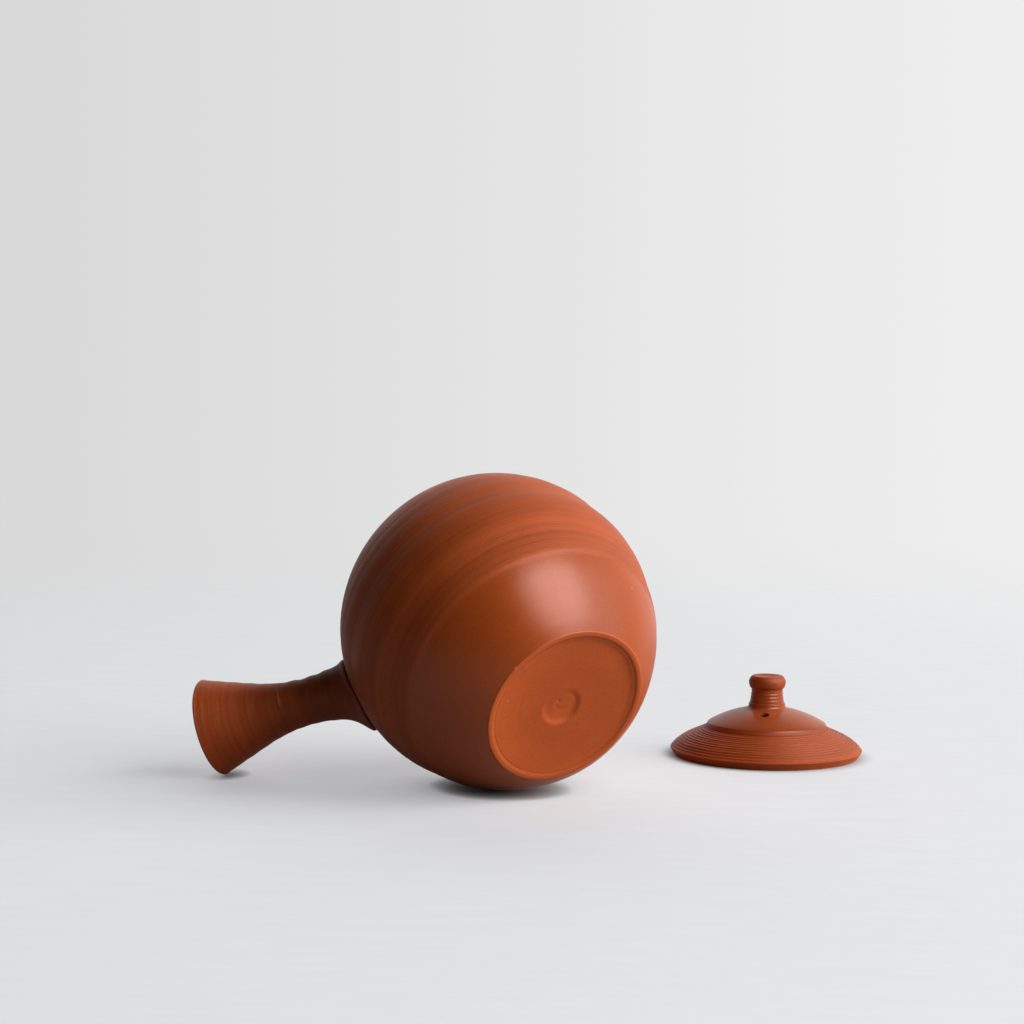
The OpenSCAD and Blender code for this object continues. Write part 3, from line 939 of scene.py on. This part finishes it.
def ranged(value, low, high, to_low=0.0, to_high=1.0):
    """A value taken smoothly from one range to another."""
    inputs = {"Value": value, "From Min": low, "From Max": high, "To Min": to_low, "To Max": to_high}
    return add(value.id_data, "MapRange", inputs, interpolation_type="SMOOTHSTEP").outputs[0]


def mixed(share, a, b):
    return add(share.id_data, "Mix", {0: share, 6: a, 7: b}, data_type="RGBA").outputs[2]


def ramped(share, stops):
    """Colour at a share along a ramp, whose stops are positions and colours from low to high."""
    ramp = add(share.id_data, "ValToRGB", {"Fac": share})
    first, last = ramp.color_ramp.elements
    first.position, first.color = stops[0]
    last.position, last.color = stops[-1]
    for position, colour in stops[1:-1]:
        ramp.color_ramp.elements.new(position).color = colour
    return ramp.outputs[0]


def own_frame(tree, place):
    """Coordinates of a surface in its piece's own frame, in metres."""
    turn = Matrix(place[:3, :3].tolist()).transposed()
    shift = turn @ Vector(place[:3, 3] * -MM)
    coordinates = add(tree, "TexCoord").outputs["Object"]
    inputs = {"Vector": coordinates, "Rotation": turn.to_euler("XYZ"), "Location": shift}
    return add(tree, "Mapping", inputs).outputs[0]


def noise(vector, stretch, detail, roughness=0.55):
    """Noise whose grain is 1 / stretch metres long along each axis."""
    tree = vector.id_data
    stretched = add(tree, "Mapping", {"Vector": vector, "Scale": stretch}).outputs[0]
    inputs = {"Vector": stretched, "Scale": 1.0, "Detail": detail, "Roughness": roughness}
    return add(tree, "TexNoise", inputs).outputs[0]


# Colours of the clays: dark, middle and light
RED_CLAY = [(0.40, 0.066, 0.009, 1), (0.46, 0.079, 0.011, 1), (0.51, 0.090, 0.014, 1)]
# Handle: paler than the red clay, partly its own tone and partly painted light
HANDLE_CLAY_AND_LIGHT = [(0.42, 0.068, 0.010, 1), (0.50, 0.084, 0.012, 1), (0.56, 0.097, 0.016, 1)]
# Lid: darker than the red clay, partly its own tone and partly painted shade
LID_CLAY_AND_SHADE = [(0.27, 0.045, 0.007, 1), (0.31, 0.054, 0.008, 1), (0.35, 0.063, 0.011, 1)]
# Slips and the vent: near-black, painted shade in the creases and inside the vent
PAINTED_SHADE_CLAY = [(0.06, 0.013, 0.005, 1), (0.09, 0.019, 0.007, 1), (0.12, 0.026, 0.009, 1)]
# Light and shade painted on the lid by height, its dome and edge paler than its cone: height, and how pale
# it is
LID_PAINTED_LIGHT = [(28.0, 1.22), (12.4, 1.22), (11.2, 0.98), (4.5, 0.98), (3.0, 1.2), (0.0, 1.2)]
# How far bands of tone waver up and down
BAND_WAVER = 0.3
# Grain of the clay: how fine it is along each axis, its detail, and its roughness if not the usual
CLOUDS = ((38, 38, 60), 4)
STREAKS = ((7, 7, 620), 5, 0.62)
LINES = ((16, 16, 2600), 3, 0.6)
GRIT = ((2300, 2300, 2300), 2)
# Range in which most values of a noise lie
NOISE_RANGE = (0.3, 0.7)
# Share of the streaks in the clouded colour, and where its dark, middle and light colours are
STREAK_SHARE = 0.6
TONE_STOPS = (0.38, 0.5, 0.62)
GRIT_TONES = (0.9, 1.08)
# Share of the fine lines in the drawn-out relief, and how much grit is added to it
LINE_SHARE = 0.3
GRIT_SHARE = 0.12
# Pale specks: cells to a metre, radius in a cell, the chance that a cell has none, and how they show
SPECK_CELLS = 150.0
SPECK_R = 0.05
SPECK_NONE = 0.78
SPECK_SHARE = 0.6
SPECK_COLOUR = (0.75, 0.55, 0.42, 1)
# Soft sheen at grazing angles
SHEEN = 0.20
SHEEN_ROUGHNESS = 0.2
SHEEN_TINT = (1.0, 0.8, 0.68, 1)
# How much less rough the burnished skin is, and the specular level of dull and of burnished clay
BURNISH = 0.24
DULL_LEVEL = 0.33
BURNISHED_LEVEL = 0.40
# Share of the clouding that burnishing takes away, and share of the relief that it leaves
BURNISH_EVENS = 0.85
BURNISH_LEAVES = 0.2
# Stretches in which a burnished skin begins and ends, and in which it ends towards the inside
BURNISH_FADES = (0.4, 4.0, 0.3)
# How much paler the clay is below such a skin and inside it: partly the unburnished clay's own tone,
# partly painted light on the foot
UNBURNISHED_TONE_AND_LIGHT = 1.25


def banded(own, clouds, bands):
    """Tone by height, in bands that waver a little round it: partly the clay's own tone and partly painted
    light and shade.
    """
    top, bottom = bands[0][0], bands[-1][0]
    waver = ranged(clouds, *NOISE_RANGE, -BAND_WAVER * MM, BAND_WAVER * MM)
    wavering = plus(along_axis(own, 2), waver)
    inputs = {"Value": wavering, "From Min": bottom * MM, "From Max": top * MM}
    share = add(own.id_data, "MapRange", inputs).outputs[0]
    # A ramp's colours end at 1, so the tones are halved in it
    stops = [((height - bottom) / (top - bottom), (tone / 2, tone / 2, tone / 2, 1))
             for height, tone in reversed(bands)]
    return times(ramped(share, stops), 2.0)


def burnished_shares(own, low, high, offset, shell):
    """Where the skin is, and where it is burnished: from a low to a high.

    The skin is outside a shell of a radius, about a point that lies beyond the axis by an offset."""
    height = along_axis(own, 2)
    flat = vector_maths("MULTIPLY", {0: own, 1: (1, 1, 0)})
    out = vector_maths("LENGTH", {0: flat}, "Value")
    section = add(own.id_data, "CombineXYZ", {0: plus(out, offset * MM), 2: height})
    reach = vector_maths("LENGTH", {0: section.outputs[0]}, "Value")
    begins, ends, inward = BURNISH_FADES
    skin = times(ranged(height, low * MM, (low + begins) * MM),
                 ranged(reach, (shell - inward) * MM, shell * MM))
    smooth = times(skin, ranged(height, (high - ends) * MM, high * MM, 1.0, 0.0))
    return skin, smooth


def specked(own, colour):
    """A colour with a few pale specks."""
    tree = own.id_data
    cells = add(tree, "TexVoronoi", {"Vector": own, "Scale": SPECK_CELLS}).outputs
    chance = add(tree, "SeparateColor", {0: cells["Color"]}).outputs[0]
    speck = times(maths("LESS_THAN", cells["Distance"], SPECK_R),
                  maths("GREATER_THAN", chance, SPECK_NONE))
    return mixed(times(speck, SPECK_SHARE), colour, SPECK_COLOUR)


def clay(name, place, tones, gloss, line_depth, burnished=None, bands=None):
    """Unglazed clay turned about its frame's +Z: clouded colour, drawn-out turning lines and fine grit.

    tones are its dark, middle and light colours, gloss its lowest and highest roughness, and
    line_depth the depth of its turning lines. burnished says where its skin is smooth, in the order of
    burnished_shares, and bands are paler and darker bands at heights that run round it, partly tone and
    partly painted light and shade."""
    material, tree, shader = new_material(name)
    own = own_frame(tree, place)
    clouds, streaks, lines, grit = (noise(own, *grain) for grain in (CLOUDS, STREAKS, LINES, GRIT))
    uneven = blended(clouds, streaks, STREAK_SHARE)
    fine = ranged(grit, *NOISE_RANGE, *GRIT_TONES)
    roughness = ranged(clouds, *NOISE_RANGE, *gloss)
    level = DULL_LEVEL
    relief = blended(streaks, lines, LINE_SHARE)
    if burnished:
        skin, smooth = burnished_shares(own, *burnished)
        plain = maths("SUBTRACT", TONE_STOPS[1], uneven)
        uneven = plus(uneven, times(plain, times(smooth, BURNISH_EVENS)))
        # Paler clay off the burnished skin: partly its unburnished tone, partly painted light on the foot
        fine = times(fine, ranged(skin, 0.0, 1.0, UNBURNISHED_TONE_AND_LIGHT, 1.0))
        roughness = maths("SUBTRACT", roughness, times(smooth, BURNISH))
        level = ranged(smooth, 0.0, 1.0, DULL_LEVEL, BURNISHED_LEVEL)
        relief = times(relief, ranged(smooth, 0.0, 1.0, 1.0, BURNISH_LEAVES))
    # Bands by height: partly the clay's own tone, partly painted light and shade
    if bands:
        fine = times(fine, banded(own, clouds, bands))
    clouded = ramped(uneven, list(zip(TONE_STOPS, tones)))
    clouded = vector_maths("SCALE", {0: clouded, "Scale": fine})
    height = plus(relief, times(grit, GRIT_SHARE))
    bump = add(tree, "Bump", {"Height": height, "Strength": 1.0, "Distance": line_depth * MM})
    feed(tree, shader, {"Base Color": specked(own, clouded), "Normal": bump.outputs[0],
                        "Roughness": roughness, "Specular IOR Level": level, "Sheen Weight": SHEEN,
                        "Sheen Roughness": SHEEN_ROUGHNESS, "Sheen Tint": SHEEN_TINT})
    return material


# Stage

# The floor, and the distances between which it fades into the backdrop
FLOOR_R = 950.0
FLOOR_FADE = (150.0, 900.0)
# Colour of the paper as it is seen, the glow at its left and right that keeps its shadows pale,
# and the duller colour with which it lights the object
PAPER_SEEN = (0.42, 0.424, 0.434, 1)
PAPER_GLOW = (0.33, 0.42)
PAPER_BOUNCE = (0.30, 0.30, 0.30, 1)
GLOW_COLOUR = (1.0, 1.01, 1.04, 1)
PAPER_ROUGHNESS = 0.9
PAPER_LEVEL = 0.1
# Fibres of the paper: grain, range of their noise, shades, and the strength and depth of their relief
FIBRES = ((45, 130, 45), 6, 0.65)
FIBRE_RANGE = (0.25, 0.75)
FIBRE_SHADES = (0.97, 1.03)
FIBRE_STRENGTH = 0.4
FIBRE_DEPTH = 0.2
# How far to the left and right of the object the glow changes
PAPER_WIDTH = 350.0
# Reach of the shade close to the object, where the paper doesn't glow, and its steepness
CONTACT_REACH = 5.0
CONTACT_POWER = 1.5
# Reach in which covered paper, as below the lid, doesn't glow either, and how open it is at full glow
COVER_REACH = 40.0
COVER_OPEN = 0.25
OPEN_SAMPLES = 8


def seen_rays(tree):
    """1 on rays that show a surface, straight or in a reflection, and 0 on rays that only carry light."""
    rays = add(tree, "LightPath").outputs
    mirrored = maths("MAXIMUM", rays["Is Glossy Ray"], rays["Is Transmission Ray"])
    return maths("MAXIMUM", rays["Is Camera Ray"], mirrored)


def openness(tree, reach):
    """How open a surface is within a reach: 1 with nothing near it, and 0 where it is covered."""
    inputs = {"Distance": reach * MM}
    return add(tree, "AmbientOcclusion", inputs, samples=OPEN_SAMPLES).outputs["AO"]


def paper_glow(place):
    """Glow of the paper, which shows to the camera only, and not close to the object or below it."""
    tree = place.id_data
    camera = add(tree, "LightPath").outputs["Is Camera Ray"]
    close_by = maths("POWER", openness(tree, CONTACT_REACH), CONTACT_POWER)
    uncovered = ranged(openness(tree, COVER_REACH), 0.0, COVER_OPEN)
    across = along_axis(place, 0)
    pale = ranged(across, -PAPER_WIDTH * MM, PAPER_WIDTH * MM, *PAPER_GLOW)
    return times(camera, times(times(close_by, uncovered), pale))


def paper(name):
    """Pale fibrous paper that fades into the backdrop towards its edge."""
    material, tree, shader = new_material(name)
    place = add(tree, "TexCoord").outputs["Object"]
    fibres = noise(place, *FIBRES)
    shade = ranged(fibres, *FIBRE_RANGE, *FIBRE_SHADES)
    tint = mixed(seen_rays(tree), PAPER_BOUNCE, PAPER_SEEN)
    tint = vector_maths("SCALE", {0: tint, "Scale": shade})
    relief = {"Height": fibres, "Strength": FIBRE_STRENGTH, "Distance": FIBRE_DEPTH * MM}
    bump = add(tree, "Bump", relief)
    reach = vector_maths("LENGTH", {0: place}, "Value")
    fade = ranged(reach, FLOOR_FADE[0] * MM, FLOOR_FADE[1] * MM, 1.0, 0.0)
    feed(tree, shader, {"Base Color": tint, "Normal": bump.outputs[0], "Roughness": PAPER_ROUGHNESS,
                        "Specular IOR Level": PAPER_LEVEL, "Alpha": fade,
                        "Emission Color": GLOW_COLOUR, "Emission Strength": paper_glow(place)})
    return material


def lay_floor():
    rim = round_axis(FLOOR_R, angles(FLOOR_SIDES), 0.0)
    points = np.concatenate([rim, np.zeros((1, 3))])
    floor = new_mesh("floor", points, cap_faces(FLOOR_SIDES, 0, FLOOR_SIDES))
    floor.data.materials.append(paper("pale_paper"))


# Key lamp: the direction to it, and its distance, size and power in metres and watts
KEY_DIRECTION = (0.578, -0.503, 0.643)
KEY_DISTANCE = 2.6
KEY_SIZE = (1.7, 1.9)
KEY_WATTS = 23.0
# Bright window round the lamp, which shows in reflections only: range of facing, and level
WINDOW_REACH = (0.88, 0.96)
WINDOW_SHOWN = 6.4
# Light of the room from its right and its back: side, range of facing in which it fades in, and level;
# the least level, and the share that shows in reflections
ROOM_LIGHTS = [((0.924, -0.065, 0.375), (0.76, 0.95), 4.5), ((0.0, 0.92, 0.39), (0.75, 0.95), 1.8)]
ROOM_LEAST = 0.01
ROOM_SHOWN = 0.03
# Side on which the room is pale in reflections, and how far round that reaches
PALE_SIDE = (0.1, 0.995, 0.0)
PALE_REACH = (0.4, 0.85)
# The backdrop: as the dull side is reflected, and as it is seen at the left and right
BACKDROP_DULL = 0.03
BACKDROP_PALE = (0.68, 0.87)
BACKDROP_WIDTH = 0.25


def light_key():
    """A large soft lamp at the front right."""
    lamp = bpy.data.lights.new("key", "AREA")
    lamp.shape = "RECTANGLE"
    lamp.size, lamp.size_y = KEY_SIZE
    lamp.energy = KEY_WATTS
    direction = unit(KEY_DIRECTION)
    side = unit(np.cross((0, 0, 1), direction))
    place = place_matrix([side, np.cross(direction, side), direction], direction * KEY_DISTANCE)
    linked("key", lamp).matrix_world = Matrix(place.tolist())


def facing(direction, side):
    """How far a direction faces one side of the room: 1 straight towards it, -1 away from it."""
    return vector_maths("DOT_PRODUCT", {0: direction, 1: side}, "Value")


def backdrop(direction):
    """Level of the backdrop: pale all round for the camera, but on one side only in reflections."""
    pale = ranged(facing(direction, PALE_SIDE), *PALE_REACH)
    camera = add(direction.id_data, "LightPath").outputs["Is Camera Ray"]
    pale = maths("MAXIMUM", pale, camera)
    across = along_axis(direction, 0)
    level = ranged(across, -BACKDROP_WIDTH, BACKDROP_WIDTH, *BACKDROP_PALE)
    return plus(times(pale, maths("SUBTRACT", level, BACKDROP_DULL)), BACKDROP_DULL)


def light_room():
    """World that lights the object from the right and from behind, and shows the pale backdrop."""
    world = bpy.data.worlds.new("room")
    world.use_nodes = True
    bpy.context.scene.world = world
    tree = world.node_tree
    direction = add(tree, "TexCoord").outputs["Generated"]
    light = ROOM_LEAST
    for side, reach, level in ROOM_LIGHTS:
        light = plus(ranged(facing(direction, side), *reach, 0.0, level), light)
    seen = maths("MAXIMUM", backdrop(direction), times(light, ROOM_SHOWN))
    window = ranged(facing(direction, unit(KEY_DIRECTION)), *WINDOW_REACH, 0.0, WINDOW_SHOWN)
    mirrored = add(tree, "LightPath").outputs["Is Glossy Ray"]
    seen = maths("MAXIMUM", seen, times(window, mirrored))
    shown = seen_rays(tree)
    unseen = maths("SUBTRACT", 1.0, shown)
    level = plus(times(shown, seen), times(unseen, light))
    feed(tree, tree.nodes["Background"], {"Color": (1.0, 1.0, 1.0, 1), "Strength": level})


# Camera: where it is, how far it looks down, its roll, and its lens
CAMERA_AT = (-9.33, -976.8, 172.4)
CAMERA_DOWN = radians(5.028)
CAMERA_ROLL = radians(0.784)
CAMERA_LENS = 105.47


def set_camera():
    data = bpy.data.cameras.new("camera")
    data.lens = CAMERA_LENS
    camera = linked("camera", data)
    place = Matrix.Translation([c * MM for c in CAMERA_AT])
    turn = Matrix.Rotation(pi / 2 - CAMERA_DOWN, 4, "X") @ Matrix.Rotation(CAMERA_ROLL, 4, "Z")
    camera.matrix_world = place @ turn
    bpy.context.scene.camera = camera


# Where skins are burnished: on the body from its foot up, and on the lid from its step to its knob
BODY_BURNISHED = (-BELLY_H, -24.2, LOWER_R - BODY_R, LOWER_R - WALL / 2)
LID_BURNISHED = (10.8, 25.0, 0.0, 0.0)

# The body's bands are partly the clay's tone and partly painted light and shade
body_clay = clay("burnished_clay", pot, RED_CLAY, gloss=(0.53, 0.60), line_depth=0.24,
                 burnished=BODY_BURNISHED, bands=BAND_TONE_AND_SHADE)
# The handle's paler clay and its bands paint light at its end and shade towards its root
handle_clay = clay("thrown_clay", pot @ handle_local, HANDLE_CLAY_AND_LIGHT, gloss=(0.48, 0.6), line_depth=0.2,
                   bands=HANDLE_PAINTED_SHADE)
spout_clay = clay("spout_clay", pot @ spout_local, RED_CLAY, gloss=(0.40, 0.56), line_depth=0.10)
# The lid's darker clay and its bands paint shade on its cone and light on its dome and edge
lid_clay = clay("lid_clay", lid, LID_CLAY_AND_SHADE, gloss=(0.53, 0.60), line_depth=0.08,
                burnished=LID_BURNISHED, bands=LID_PAINTED_LIGHT)
# Near-black slip: painted shade in the creases round the handle, spout and strainer, and inside the lid's
# vent
shaded_slip_clay = clay("slip_painted_shade", pot, PAINTED_SHADE_CLAY, gloss=(0.6, 0.75), line_depth=0.06)
strainer_clay = clay("strainer_clay", pot, HANDLE_CLAY_AND_LIGHT, gloss=(0.55, 0.7), line_depth=0.06)

body = pot_body(pot, [handle_local, spout_local])
port_axis = spout_local[:3, 2]
drilled(body, PORT_R, spout_local[:3, 3] + PORT_START * port_axis, port_axis, PORT_CUT, pot)
handle = arm("kyusu_handle", handle_radius, handle_marks, handle_collar, HANDLE_WALL, HANDLE_REACH,
             handle_local, pot)
spout = arm("kyusu_spout", spout_radius, spout_marks, spout_collar, SPOUT_WALL, SPOUT_REACH,
            spout_local, pot)

finished(body, body_clay, "pot", ["pot_body"])
finished(handle, handle_clay, "pot", ["handle"])
finished(spout, spout_clay, "pot", ["spout"])
finished(lid_form(lid, lid_clay, shaded_slip_clay), lid_clay, "lid", ["lid"])
finished(knob_form(lid), lid_clay, "lid", ["lid_knob"])
finished(knob_fillet(lid), lid_clay, "lid", ["knob_slip"])

# Pieces that show the solids' own meshes
# The slips among them take the near-black clay as painted shade in their creases
CAD_CLAYS = {"handle_slip": shaded_slip_clay, "spout_slip": shaded_slip_clay, "strainer_slip": shaded_slip_clay,
             "strainer": strainer_clay}
for node, material in CAD_CLAYS.items():
    mesh = frame["nodes"][node].data
    mesh.materials.clear()
    mesh.materials.append(material)

lay_floor()
light_key()
light_room()
set_camera()
bpy.context.scene.view_settings.view_transform = "Standard"
